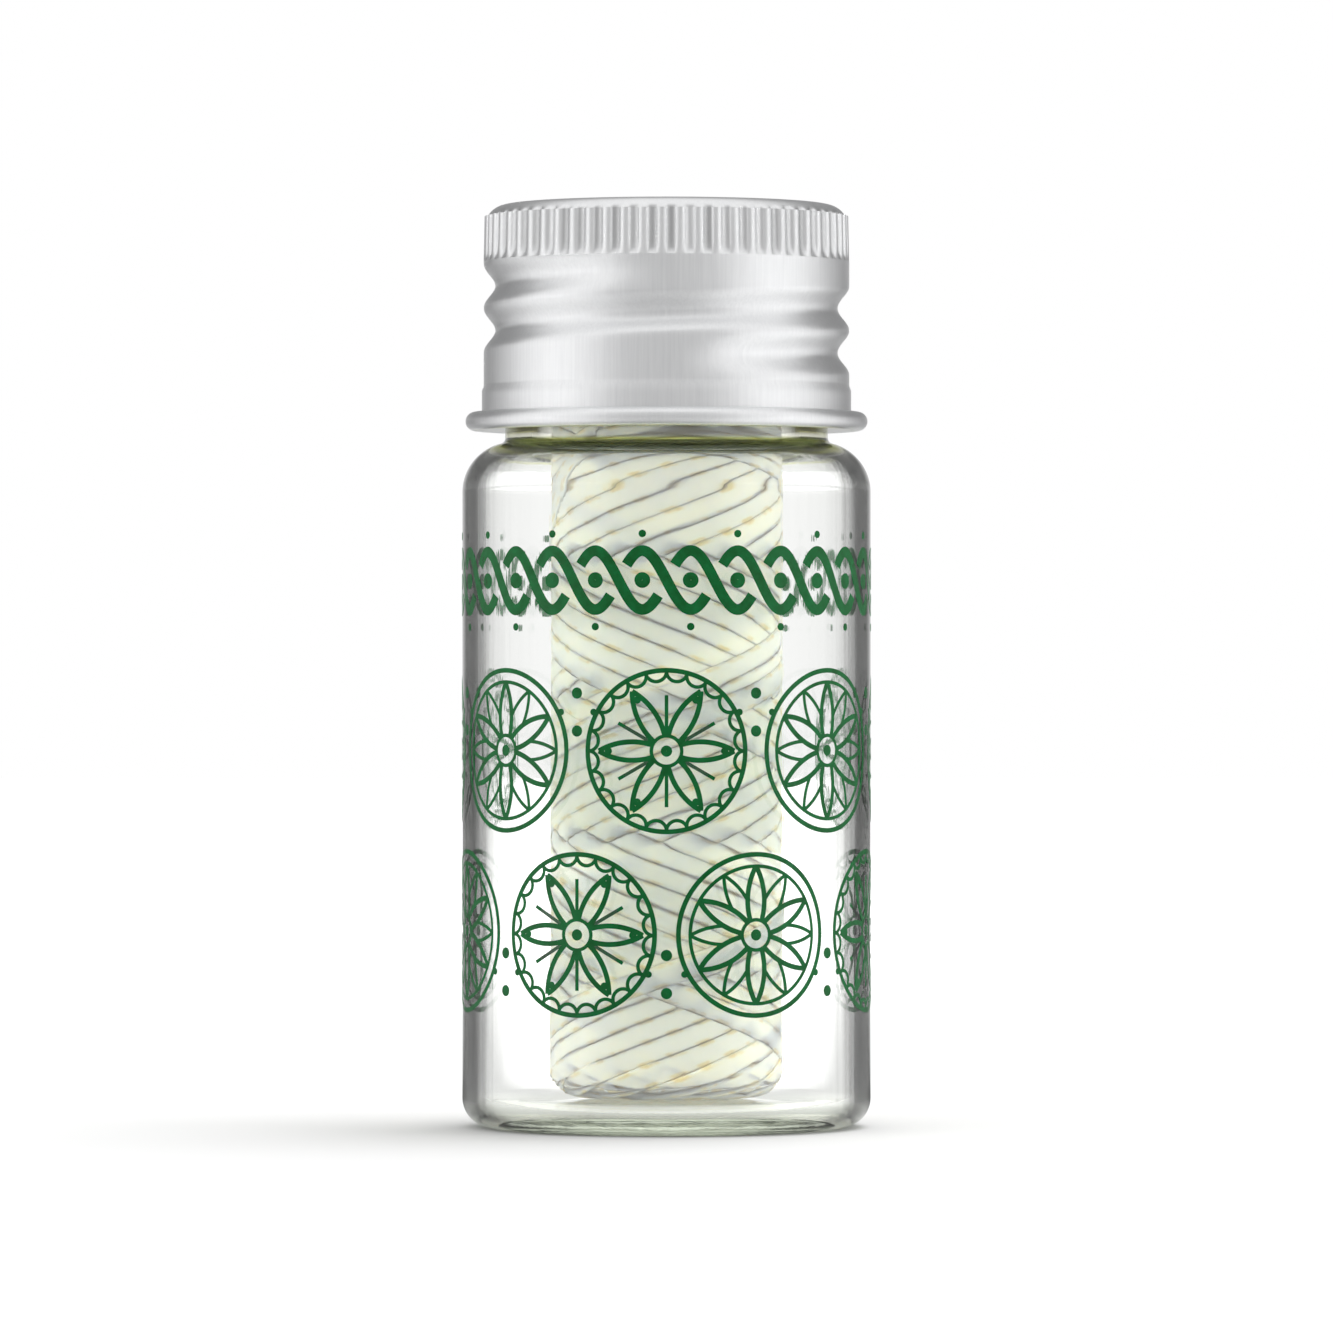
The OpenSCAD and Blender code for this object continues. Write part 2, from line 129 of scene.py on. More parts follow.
# Cubic curve through the given points, with each tangent half the way between its neighbours
def smoothPath(points, perSpan):
    p = np.asarray(points, float)
    p = np.concatenate([[2 * p[0] - p[1]], p, [2 * p[-1] - p[-2]]])
    t = np.linspace(0, 1, perSpan, endpoint=False)[:, None, None]
    a, b, c, d = p[:-3], p[1:-2], p[2:-1], p[3:]
    curve = 0.5 * (2 * b + (c - a) * t + (2 * a - 5 * b + 4 * c - d) * t ** 2
                   + (3 * b - a - 3 * c + d) * t ** 3)
    return np.concatenate([curve.transpose(1, 0, 2).reshape(-1, 3), p[-2:-1]])


# Vectors divided by their own length
def unit(v):
    return v / np.linalg.norm(v, axis=-1, keepdims=True)


# Closed tube: at each path point the section (side, up) lies on the side and up directions.
# The UV map runs along the path in millimetres and once round the section.
def sweep(path, side, up, section):
    ring = (path[:, None] + section[None, :, :1] * side[:, None]
            + section[None, :, 1:] * up[:, None])
    rows, cols = ring.shape[:2]
    points = np.concatenate([ring.reshape(-1, 3), path[:1], path[-1:]])
    j = np.arange(cols)
    k = (j + 1) % cols
    low, high = rows * cols, rows * cols + 1
    last = (rows - 1) * cols
    faces = gridFaces(rows, cols).tolist()
    faces += np.stack([np.full(cols, low), k, j], axis=-1).tolist()
    faces += np.stack([np.full(cols, high), last + j, last + k], axis=-1).tolist()
    lengths = runLengths(path)
    uv = np.stack(np.broadcast_arrays(lengths[:, None], j[None, :] / cols), axis=-1)
    uv = np.concatenate([uv.reshape(-1, 2), [[0, 0], [lengths[-1], 0]]])
    return points, faces, uv, lengths[-1]


# Feeds a node's inputs, named, or numbered after an i: a socket is linked, a value is set
def feed(tree, node, **values):
    for key, value in values.items():
        number = key[1:]
        socket = node.inputs[int(number) if number.isdigit() else key.replace("_", " ")]
        if isinstance(value, bpy.types.NodeSocket):
            tree.links.new(value, socket)
        else:
            socket.default_value = value
    return node


# Adds one node with its options and its inputs
def put(tree, kind, options=None, **values):
    made = tree.nodes.new("ShaderNode" + kind)
    for key, value in (options or {}).items():
        setattr(made, key, value)
    return feed(tree, made, **values)


# A material that has only its output node
def bareMaterial(name):
    made = bpy.data.materials.new(name)
    made.use_nodes = True
    made.node_tree.nodes.clear()
    return made, made.node_tree, made.node_tree.nodes.new("ShaderNodeOutputMaterial")


# A material with one Principled shader
def newMaterial(name):
    made, tree, out = bareMaterial(name)
    shader = put(tree, "BsdfPrincipled")
    feed(tree, out, Surface=shader.outputs[0])
    return made, tree, shader, out


# One operation on two values
def math(tree, operation, a, b=0.0):
    return put(tree, "Math", {"operation": operation}, i0=a, i1=b).outputs[0]


# The value that a mesh has at its points
def carried(tree, name):
    return put(tree, "Attribute", {"attribute_name": name}).outputs["Fac"]


# Object coordinates, in metres
def objectPlace(tree):
    return put(tree, "TexCoord").outputs["Object"]


# Noise on Object coordinates, stretched by a scale for each axis
def grainNoise(tree, stretch, scale, detail=2.0, rough=0.5):
    drawn = put(tree, "Mapping", Vector=objectPlace(tree), Scale=stretch).outputs[0]
    made = put(tree, "TexNoise", Vector=drawn, Scale=scale, Detail=detail, Roughness=rough)
    return made.outputs["Fac"]


# Colours at places from 0 to 1 along a value
def ramp(tree, value, stops):
    made = put(tree, "ValToRGB", Fac=value)
    elements = made.color_ramp.elements
    for n, (place, colour) in enumerate(stops):
        element = elements[n] if n < 2 else elements.new(place)  # a new ramp has two stops
        element.position = place
        element.color = (*colour, 1.0)
    return made.outputs[0]


# Stops of a ramp in greys
def greys(*stops):
    return [(place, (level, level, level)) for place, level in stops]


# Two colours mottled by a value, with a soft change between two places
def mottled(tree, value, colours, places=(0.3, 0.7)):
    return ramp(tree, value, list(zip(places, colours)))


# Goes from the first colour to the second by a factor, or multiplies them
def mixColour(tree, factor, first, second, blend="MIX"):
    made = put(tree, "Mix", {"data_type": "RGBA", "blend_type": blend},
               i0=factor, i6=first, i7=second)
    return made.outputs[2]


# A value from 0 to 1 spread evenly from start to end
def spread(tree, value, start, end):
    return put(tree, "MapRange", Value=value, To_Min=start, To_Max=end).outputs[0]


# Smooth step from start to end while a value goes from low to high
def smooth(tree, value, low, high, start=0.0, end=1.0):
    made = put(tree, "MapRange", {"interpolation_type": "SMOOTHSTEP"}, Value=value,
               From_Min=low, From_Max=high, To_Min=start, To_Max=end)
    return made.outputs[0]


# Normals of a relief: its height in metres is the value times the distance
def bump(tree, height, strength, distance):
    return put(tree, "Bump", Height=height, Strength=strength, Distance=distance).outputs[0]


vial = {
    "bodyR": 11.0, "height": 47.15, "wall": 1.1, "floorT": 1.1, "pushUp": 0.5,
    "footR": 1.6, "innerFootR": 0.7, "flatShare": 0.86,
    "shoulderR": 2.7, "shoulderZ": 36.88, "shoulderWall": 0.80, "innerShoulderR": 1.6,
    "neckR": 8.7, "boreR": 7.2, "hollowR": 0.3, "rootR": 1.0, "rimR": 0.5,
    "ridgeLowZ": 42.3, "ridgePitch": 2.4, "ridgeTurns": 1.5, "ridgeH": 0.2,
    "ridgeHalfW": 0.62, "ridgeFade": 30,  # degrees
    "columns": 186, "outerStep": 0.22, "innerStep": 0.6,
}
glass = {
    "ior": 1.52, "density": 11, "depthTint": (0.40, 0.70, 0.08, 1), "streakShift": 0.13,
    "rampTop": 50, "neckShadeColour": (0.07, 0.065, 0.012),
    # painted edge shade: darkening by how far the surface turns away from the eye
    "edge": greys((0.0, 0.985), (0.2, 0.92), (0.36, 0.84), (0.44, 0.70), (0.48, 0.56),
                  (0.515, 0.40), (0.545, 0.20), (0.56, 0.14), (0.60, 0.10), (0.618, 0.03),
                  (0.66, 0.014), (0.80, 0.03), (0.90, 0.008)),
    # shares of the light that passes for the floss and the floor
    "inside": (0.98, 0.985, 0.975, 1), "outside": (0.45, 0.46, 0.44, 1),
    "foot": (0.06, 0.065, 0.055, 1), "shadow": (0.30, 0.31, 0.29, 1),
    "footLow": 0.001, "footHigh": 0.0045,  # metres
}


# Tint by height: faintly green in the foot, olive where the wall is thick at the shoulder, and
# painted shade: the edge shade on the straight wall, and dark in the neck where it turns away from
# the eye
def glassTintAndPaintedShade(tree, facing, edge, height):
    place = math(tree, "MULTIPLY", height, 1 / (glass["rampTop"] * mm))
    thick = ramp(tree, place, [
        (0.0, (0.90, 0.93, 0.85)), (0.03, (0.98, 0.985, 0.97)), (0.05, (1, 1, 1)),
        (0.70, (1, 1, 1)), (0.727, (0.94, 0.95, 0.90)), (0.731, (0.47, 0.49, 0.07)),
        (0.7385, (0.47, 0.49, 0.07)), (0.7415, (0.99, 0.985, 0.90)), (0.76, (0.99, 0.985, 0.92))])
    # the painted edge shade belongs to the straight wall, and the foot and the neck show little of
    # it
    onWall = ramp(tree, place, greys(
        (0.004, 0.6), (0.014, 1.0), (0.722, 1.0), (0.734, 0.4), (0.737, 0.12)))
    edge = mixColour(tree, onWall, white, edge)
    # painted shade: the neck goes dark olive where it turns away from the eye
    paintedNeckShade = ramp(tree, facing, [
        (0.31, (1, 1, 1)), (0.40, glass["neckShadeColour"]), (0.62, glass["neckShadeColour"]),
        (0.75, (0.4, 0.4, 0.25))])
    onNeck = ramp(tree, place, greys((0.741, 0.0), (0.743, 1.0), (0.756, 1.0), (0.776, 0.0)))
    edge = mixColour(tree, onNeck, edge, paintedNeckShade)
    both = mixColour(tree, 1.0, edge, thick, "MULTIPLY")
    return mixColour(tree, carried(tree, "outside"), white, both)


# Light for the floss and the floor passes straight: nearly whole from inside, and less of it by
# the outside of the low wall, so that the vial keeps its own shadow where it stands
def passStraight(tree, height):
    path = put(tree, "LightPath").outputs
    passing = math(tree, "MAXIMUM", path["Is Shadow Ray"], path["Is Diffuse Ray"])
    inFoot = smooth(tree, height, glass["footLow"], glass["footHigh"], 1.0, 0.0)
    outside = mixColour(tree, inFoot, glass["outside"], glass["foot"])
    outside = mixColour(tree, path["Is Shadow Ray"], outside, glass["shadow"])
    entering = math(tree, "LESS_THAN", path["Transparent Depth"], 0.5)
    first = math(tree, "MULTIPLY", carried(tree, "side"), entering)
    passed = mixColour(tree, first, glass["inside"], outside)
    return passing, put(tree, "BsdfTransparent", Color=passed).outputs[0]


# Clear glass with drawn streaks: where the outside turns away from the eye, painted shade darkens
# its colour so less light comes through, and where the glass is deep it turns green
def glassMaterial():
    made, tree, shader, out = newMaterial("drawn_glass")
    streaks = grainNoise(tree, (1, 1, 0.012), 2600, 3.0, 0.6)
    broad = grainNoise(tree, (1, 1, 0.02), 700, 1.0)
    uneven = math(tree, "ADD", math(tree, "MULTIPLY", streaks, 0.6), broad)
    normal = bump(tree, uneven, 0.05, 0.00012)
    facing = put(tree, "LayerWeight", Blend=0.5, Normal=normal).outputs["Facing"]
    # painted edge shade by facing, broken up by the streaks
    shift = math(tree, "MULTIPLY", math(tree, "SUBTRACT", streaks, 0.5), glass["streakShift"])
    edge = ramp(tree, math(tree, "ADD", facing, shift), glass["edge"])
    height = put(tree, "SeparateXYZ", Vector=objectPlace(tree)).outputs["Z"]
    feed(tree, shader, Base_Color=glassTintAndPaintedShade(tree, facing, edge, height), Normal=normal,
         Roughness=0.0, IOR=glass["ior"], Transmission_Weight=1.0)
    depth = put(tree, "VolumeAbsorption", Color=glass["depthTint"], Density=glass["density"])
    passing, clear = passStraight(tree, height)
    mixed = put(tree, "MixShader", i0=passing, i1=shader.outputs[0], i2=clear)
    feed(tree, out, Surface=mixed.outputs[0], Volume=depth.outputs[0])
    return made


# Shallow ball cap over a flat ring: its height falls from pushUp in the middle to low at the rim
def dome(rim, low):
    rise = vial["pushUp"]
    ball = (rim ** 2 + rise ** 2) / (2 * rise)
    r = np.linspace(rim, 0, 24)
    return np.stack([r, low + rise - ball + np.sqrt(ball ** 2 - r ** 2)], axis=-1)


# Half profile of the glass: foot, side, shoulder, neck and rim, then down the inside. The small
# hollow between shoulder and neck is an arc that touches both.
def vialProfile():
    v = vial
    footX = v["bodyR"] - v["footR"]
    shoulder = (v["bodyR"] - v["shoulderR"], v["shoulderZ"] - v["shoulderR"])
    hollowX = v["neckR"] + v["hollowR"]
    reach = v["shoulderR"] + v["hollowR"]
    hollowZ = shoulder[1] + np.sqrt(reach ** 2 - (hollowX - shoulder[0]) ** 2)
    hollowA = np.degrees(np.arctan2(hollowZ - shoulder[1], hollowX - shoulder[0]))
    rimZ = v["height"] - v["rimR"]
    innerR = v["bodyR"] - v["wall"]
    innerTop = v["shoulderZ"] - v["shoulderWall"]
    innerShoulder = v["innerShoulderR"]
    innerFootX = innerR - v["innerFootR"]
    outer = np.concatenate([
        dome(footX * v["flatShare"], 0)[::-1],
        arc(footX, v["footR"], v["footR"], -90, 0, steps=24),
        arc(*shoulder, v["shoulderR"], 0, hollowA, steps=28),
        arc(hollowX, hollowZ, v["hollowR"], hollowA - 180, -180, steps=12),
        arc(v["neckR"] - v["rimR"], rimZ, v["rimR"], 0, 90, steps=10)])
    inner = np.concatenate([
        arc(v["boreR"] + v["rimR"], rimZ, v["rimR"], 90, 180, steps=10),
        arc(v["boreR"] + v["rootR"], innerTop + v["rootR"], v["rootR"], 180, 270, steps=14),
        arc(innerR - innerShoulder, innerTop - innerShoulder, innerShoulder, 90, 0),
        arc(innerFootX, v["floorT"] + v["innerFootR"], v["innerFootR"], 0, -90, steps=18),
        dome(innerFootX * v["flatShare"], v["floorT"])])
    return fillIn(outer, v["outerStep"]), fillIn(inner, v["innerStep"])


# The neck's ridge: a raised cosine across, carried up by one pitch a turn and faded at both ends
def neckRidge(angle, z):
    v = vial
    start = (np.degrees(angle) + 90) % 360
    height = np.zeros(np.broadcast(angle, z).shape)
    for turn in range(int(v["ridgeTurns"]) + 1):
        along = start + 360 * turn
        off = z - v["ridgeLowZ"] - v["ridgePitch"] * along / 360
        fade = (ease(along / v["ridgeFade"])
                * ease((360 * v["ridgeTurns"] - along) / v["ridgeFade"]))
        across = (1 + np.cos(np.pi * np.clip(off / v["ridgeHalfW"], -1, 1))) / 2
        height = np.maximum(height, v["ridgeH"] * fade * across)
    return height


# The half profile turned about the axis, with the ridge added to the neck's radius. The marks
# tell the outer skin, and the part of it that is the upright side.
def makeVial():
    outer, inner = vialProfile()
    angles = fullTurn(vial["columns"])[None, :]
    r, z = outer[:, :1], outer[:, 1:]
    onNeck = (np.abs(r - vial["neckR"]) < 1e-3) & (z > vial["shoulderZ"])
    shell = turned(r + onNeck * neckRidge(angles, z), z, angles)
    hollow = turned(inner[:, :1], inner[:, 1:], angles)
    points = np.concatenate([shell, hollow])
    rows, columns = points.shape[:2]
    outside = np.repeat((np.arange(rows) < len(outer)).astype(float), columns)
    reach = np.linalg.norm(points[..., :2], axis=-1)
    side = outside.reshape(rows, -1) * (reach > vial["bodyR"] - vial["footR"])
    piece = makePiece("glass_vial", points, gridFaces(rows, columns), glassMaterial(), "vial",
                      ["vial"], marks={"outside": outside, "side": side}, weld=True)
    print("stage: vial,", len(piece.data.polygons), "faces")


makeVial()


ink = {
    "innerR": 11.004, "outerR": 11.02, "frontA": -90.0, "fine": 0.19, "bold": 0.34,
    "bandZ": 29.35, "bandWave": 1.55, "bandPeriod": 5.1, "bandTurns": 6, "bandStroke": 0.58,
    "bandGap": 0.44, "eyeDot": 0.42, "besideZ": 2.45, "besideDot": 0.2,
    "rosetteR": 4.25, "rosetteStep": 9.75, "rowZ": (20.35, 10.65), "borderW": 0.62,
    "hubR": 0.8, "hubDot": 0.3, "fineHubR": 1.9, "scallopR": 0.56, "scallops": 24,
    "rayEnd": 1.3, "rayDotIn": 1.15, "rayDot": 0.2,
    "betweenZ": 5.9, "betweenStep": 2.0, "betweenDot": 0.3, "flankU": 0.95, "flankDot": 0.18,
    "dark": ((0.0, 0.055, 0.009), (0.0, 0.09, 0.02)),
    "paintedLight": ((0.01, 0.26, 0.07), (0.02, 0.34, 0.11)),  # painted light: a brighter copy of the green on the side towards the glass
}


# A line on the unrolled glass: a strip of four sides along it, wrapped on the cylinder. u is
# the arc length round the glass from the front, v the height, width the stroke.
def drawLine(strips, u, v, width, closed=False):
    path = np.stack([u, v], axis=-1)
    if closed:
        run = np.roll(path, -1, axis=0) - np.roll(path, 1, axis=0)
    else:
        run = np.gradient(path, axis=0)
    left = unit(np.stack([-run[:, 1], run[:, 0]], axis=-1)) * np.reshape(width, (-1, 1)) / 2
    across = np.stack([path + left, path - left, path - left, path + left], axis=1)
    r = np.array([ink["outerR"], ink["outerR"], ink["innerR"], ink["innerR"]])
    angle = np.radians(ink["frontA"]) + across[..., 0] / vial["bodyR"]
    faces = gridFaces(len(path), 4, wrapRows=closed)
    if not closed:
        last = (len(path) - 1) * 4
        faces = np.concatenate([faces, [[3, 2, 1, 0], [last, last + 1, last + 2, last + 3]]])
    strips.append((turned(r, across[..., 1], angle).reshape(-1, 3), faces))


# A closed line round (u, v)
def drawCircle(strips, u, v, r, width, steps=64):
    t = fullTurn(steps)
    drawLine(strips, u + r * np.cos(t), v + r * np.sin(t), width, closed=True)


# A filled dot: a circle of half its radius, with a stroke nearly as wide as the radius
def drawDot(strips, u, v, r):
    drawCircle(strips, u, v, r * 0.51, r * 0.98, 24)


# Two waves of opposite phase, each broken where it passes under the other, dots in the eyes
def drawBand(strips):
    half, turns = ink["bandPeriod"] / 2, ink["bandTurns"]
    for strand, sign in ((0, 1), (1, -1)):
        for k in range(-turns, turns):
            start = (2 * k + strand) * half + ink["bandGap"]
            stop = (2 * k + 2 + strand) * half - ink["bandGap"]
            u = np.linspace(start, min(stop, turns * 2 * half), 40)
            v = ink["bandZ"] + sign * ink["bandWave"] * np.sin(np.pi * u / half)
            drawLine(strips, u, v, ink["bandStroke"])
    for k in range(-2 * turns, 2 * turns):
        u, beside = (k + 0.5) * half, ink["besideZ"] * (1 if k % 2 else -1)
        drawDot(strips, u, ink["bandZ"], ink["eyeDot"])
        drawDot(strips, u, ink["bandZ"] + beside, ink["besideDot"])


# Six petals: arcs of radius r about six points of the circle r, which end at the hub's ring
def drawPetals(strips, u, v, r, tilt, width, hub):
    near = 2 * np.degrees(np.arcsin(hub / (2 * r)))
    for k in range(6):
        a = np.radians(60 * k + tilt)
        for side in (-1, 1):
            turn = a + np.pi + np.radians(side * np.linspace(near, 60, 22))
            drawLine(strips, u + r * (np.cos(a) + np.cos(turn)),
                     v + r * (np.sin(a) + np.sin(turn)), width)


# A ring of small arcs that hang inward from the circle r
def drawScallops(strips, u, v, r):
    size, count = ink["scallopR"], ink["scallops"]
    for k in range(count):
        a = 2 * np.pi * (k + 0.5) / count
        t = a + np.pi + np.radians(np.linspace(-82, 82, 20))
        drawLine(strips, u + r * np.cos(a) + size * np.cos(t),
                 v + r * np.sin(a) + size * np.sin(t), ink["fine"])


# Compass rosette: bold petals in a circle about a hub. Kind 1 has a second circle and finer
# petals between, and kind 0 has scallops, rays and dots.
def drawRosette(strips, u, v, kind):
    rim, hub, fine, bold = ink["rosetteR"], ink["hubR"], ink["fine"], ink["bold"]
    field = rim - ink["borderW"]
    drawCircle(strips, u, v, rim, bold * 0.75, 96)
    drawPetals(strips, u, v, field, 30 * kind, bold * 0.8, hub)
    drawCircle(strips, u, v, hub, fine, 40)
    drawDot(strips, u, v, ink["hubDot"])
    if kind:
        drawCircle(strips, u, v, field, fine, 90)
        drawPetals(strips, u, v, field, 0, fine, ink["fineHubR"])
        return
    drawScallops(strips, u, v, rim)
    for k in range(6):
        a = np.radians(60 * k + 30)
        ray, dotA, dotR = np.array([hub, rim - ink["rayEnd"]]), a + np.pi / 6, rim - ink["rayDotIn"]
        drawLine(strips, u + ray * np.cos(a), v + ray * np.sin(a), fine)
        drawDot(strips, u + dotR * np.cos(dotA), v + dotR * np.sin(dotA), ink["rayDot"])


# Dots between the rosettes: pairs up and down in turn, with one at each side
def drawDotsBetween(strips):
    middle = sum(ink["rowZ"]) / 2
    for k in range(-4, 5):
        u, sign = k * ink["rosetteStep"] / 2, 1 if k % 2 else -1
        edge = middle + sign * ink["betweenZ"]
        for z in (edge, edge + sign * ink["betweenStep"]):
            drawDot(strips, u, z, ink["betweenDot"])
        for side in (-1, 1):
            flankZ = edge + sign * ink["betweenStep"] / 2
            drawDot(strips, u + side * ink["flankU"], flankZ, ink["flankDot"])


# Fired enamel, mottled by noise, with painted light: a livelier green on its side towards the glass
def inkMaterial():
    made, tree, shader, _ = newMaterial("fired_green_ink")
    mottle = grainNoise(tree, (1, 1, 1), 1500, 4.0, 0.6)
    dark, paintedLight = mottled(tree, mottle, ink["dark"]), mottled(tree, mottle, ink["paintedLight"])
    feed(tree, shader, Base_Color=mixColour(tree, carried(tree, "onGlass"), dark, paintedLight),
         Normal=bump(tree, mottle, 0.12, 0.00002), Roughness=0.16, Specular_IOR_Level=0.22)
    return made


# All strips joined: each one's faces are counted on from the points before it
def makePrint():
    strips = []
    drawBand(strips)
    for row, z in enumerate(ink["rowZ"]):
        for k in range(-2, 3 - row):
            drawRosette(strips, (k + row / 2) * ink["rosetteStep"], z, (k + row) % 2)
    drawDotsBetween(strips)
    starts = np.cumsum([0] + [len(part) for part, _ in strips[:-1]])
    points = np.concatenate([part for part, _ in strips])
    faces = np.concatenate([part + start for (_, part), start in zip(strips, starts)])
    onGlass = np.linalg.norm(points[:, :2], axis=1) < (ink["innerR"] + ink["outerR"]) / 2
    piece = makePiece("fired_print", points, faces, inkMaterial(), "vial",
                      marks={"onGlass": onGlass}, sharp=40)
    print("stage: print,", len(piece.data.polygons), "faces")


makePrint()


cap = {
    "low": 37.5, "top": 49.65, "sheet": 0.25, "bandR": 9.85, "skirtR": 9.95,
    "crownR": 1.2, "crownX": 8.6, "beadOut": 0.88, "beadR": 0.5, "beadTopZ": 39.3,
    "knurlLow": 46.65, "knurlHigh": 49.05, "knurlTaper": 0.05, "inKnurlR": 9.35,
    "flutes": 62, "fluteDepth": 0.2, "chamferZ": 48.85, "chamferH": 0.42,
    "grooveLow": 3.6, "pitch": 2.4, "turns": 2, "grooveDepth": 0.63, "startA": -90,
    "runOut": 45, "grooveEnd": 0.12, "seed": 3, "valleyShadeRange": (0.15, 0.9),
    "colours": ((0.80, 0.805, 0.815), (0.90, 0.905, 0.91)), "rough": (0.30, 0.44),
    # one flute: places along its period, and how deep its valley is at each
    "fluteAt": np.array([0.0, 0.07, 0.25, 0.43, 0.5, 0.58, 0.75, 0.93]),
    "valley": np.array([0.5, 0.17, 0.0, 0.17, 0.5, 0.88, 1.0, 0.88]),
}


# Cosine groove that climbs to the right by one pitch a turn and fades in and out
def capGroove(angle, z):
    c = cap
    start = (np.degrees(angle) - c["startA"]) % 360
    depth = np.zeros(np.broadcast(angle, z).shape)
    for turn in range(c["turns"] + 1):
        along = start + 360 * turn
        off = z - c["low"] - c["grooveLow"] - c["pitch"] * along / 360
        fade = ease(along / c["runOut"]) * ease((360 * c["turns"] - along) / c["runOut"])
        wave = (1 + np.cos(2 * np.pi * np.clip(off / c["pitch"], -0.5, 0.5))) / 2
        depth = np.maximum(depth, fade * wave)
    return c["grooveDepth"] * depth


# Satin sheet: fine upright grain with clouds, with painted shade that darkens the valleys against
# the ridges
def aluminiumMaterial():
    made, tree, shader, _ = newMaterial("satin_aluminium")
    grain = grainNoise(tree, (1, 1, 0.03), 7000, 3.0, 0.7)
    cloud = grainNoise(tree, (1, 1, 0.3), 260, 3.0, 0.55)
    speck = grainNoise(tree, (1, 1, 0.6), 9000, 1.0)
    mixed = math(tree, "ADD", math(tree, "MULTIPLY", grain, 0.7),
                 math(tree, "MULTIPLY", cloud, 0.3))
    plain = mottled(tree, mixed, cap["colours"])
    # painted shade in the flute valleys: grey from 0.52 in the deepest to 1 on the ridges
    valleyShadeFactor = ramp(tree, carried(tree, "valleyShadeFactor"), greys((0.0, 0.52), (0.5, 0.80), (1.0, 1.0)))
    height = math(tree, "ADD", grain, math(tree, "MULTIPLY", speck, 0.5))
    feed(tree, shader, Base_Color=mixColour(tree, 1.0, plain, valleyShadeFactor, "MULTIPLY"),
         Roughness=spread(tree, mixed, *cap["rough"]), Metallic=1.0,
         Normal=bump(tree, height, 0.16, 0.00002))
    return made


# Rows of (radius, height, flute share, groove share) for one stretch of the cap's profile
def capRows(r, z, flute=0.0, groove=0.0):
    columns = np.broadcast_arrays(np.asarray(r, float), z, flute, groove)
    return np.stack(columns, axis=-1).reshape(-1, 4)


# The cap's profile, from the inside of the top round the bead and up the outside, with short
# cones between its stretches
def capProfile():
    c = cap
    inTop = c["top"] - c["sheet"]
    beadX, beadZ = c["skirtR"] + c["beadOut"] - c["beadR"], c["low"] + c["beadR"]
    crownZ = c["top"] - c["crownR"]
    grooveLowZ = c["low"] + c["grooveLow"] - c["pitch"] / 2
    band = np.linspace(grooveLowZ, c["knurlLow"] - c["grooveEnd"], 46)
    crown = arc(c["crownX"], crownZ, c["crownR"], 0, 90, steps=14)
    innerCrown = arc(c["crownX"], crownZ, c["crownR"] - c["sheet"], 90, 38, steps=6)
    bead = arc(beadX, beadZ, c["beadR"], -100, 110, steps=18)
    knurl = np.linspace(c["knurlLow"], c["knurlHigh"], 9)
    knurlR = np.interp(knurl, [c["knurlLow"], c["knurlHigh"]],
                       [c["bandR"], c["bandR"] - c["knurlTaper"]])
    runIn = np.concatenate([[0.25, 0.9], np.ones(len(knurl) - 2)])
    chamfer = 1 - ease((crown[:, 1] - c["chamferZ"]) / c["chamferH"])
    aboveBead = beadZ + c["beadR"]
    return np.concatenate([
        capRows(np.array([0, 3, 6]), inTop),
        capRows(innerCrown[:, 0], innerCrown[:, 1]),
        capRows(c["inKnurlR"], np.array([c["knurlLow"] + 0.4])),
        capRows(c["bandR"] - c["sheet"], band[::-1], 0, 1),
        capRows(c["skirtR"] - c["sheet"], np.array([aboveBead + 0.05, beadZ])),
        capRows(bead[:, 0], bead[:, 1]),
        capRows(c["skirtR"], np.array([aboveBead + 0.03, aboveBead + 0.12])),
        capRows(c["skirtR"], np.array([c["beadTopZ"], grooveLowZ - 0.25])),
        capRows(c["bandR"], band, 0, 1),
        capRows(c["bandR"], np.array([c["knurlLow"] - 0.05])),
        capRows(knurlR, knurl, runIn),
        capRows(crown[1:, 0], crown[1:, 1], chamfer[1:]),
        capRows(np.array([6, 3, 0]), c["top"])])


# The profile turned about the axis, less the flutes and the groove: columns follow each
# flute's flat ridge, flanks and flat valley, and every valley gets a little different painted shade
def makeCap():
    c = cap
    period = 2 * np.pi / c["flutes"]
    angles = np.arange(c["flutes"])[:, None] * period + c["fluteAt"][None, :] * period
    angles = angles.reshape(1, -1)
    cut = np.tile(c["valley"], c["flutes"])[None, :]
    r, z, flute, groove = np.split(capProfile(), 4, axis=1)
    r = r - flute * c["fluteDepth"] * cut - groove * capGroove(angles, z)
    points = turned(r, z, angles)
    # painted shade: a random depth of valley shade for each flute
    valleyShade = np.random.default_rng(c["seed"]).uniform(*c["valleyShadeRange"], c["flutes"])
    valleyShade = valleyShade.repeat(len(c["fluteAt"]))[None, :]
    valleyShadeFactor = 1 - np.clip(flute, 0, 1) * ease((cut - 0.35) / 0.6) * valleyShade
    valleyShadeFactor = np.broadcast_to(valleyShadeFactor, points.shape[:2])
    piece = makePiece("rolled_cap", points, gridFaces(*points.shape[:2]), aluminiumMaterial(),
                      "cap", ["screw_cap"], marks={"valleyShadeFactor": valleyShadeFactor}, weld=True, sharp=42)
    print("stage: cap,", len(piece.data.polygons), "faces")


makeCap()


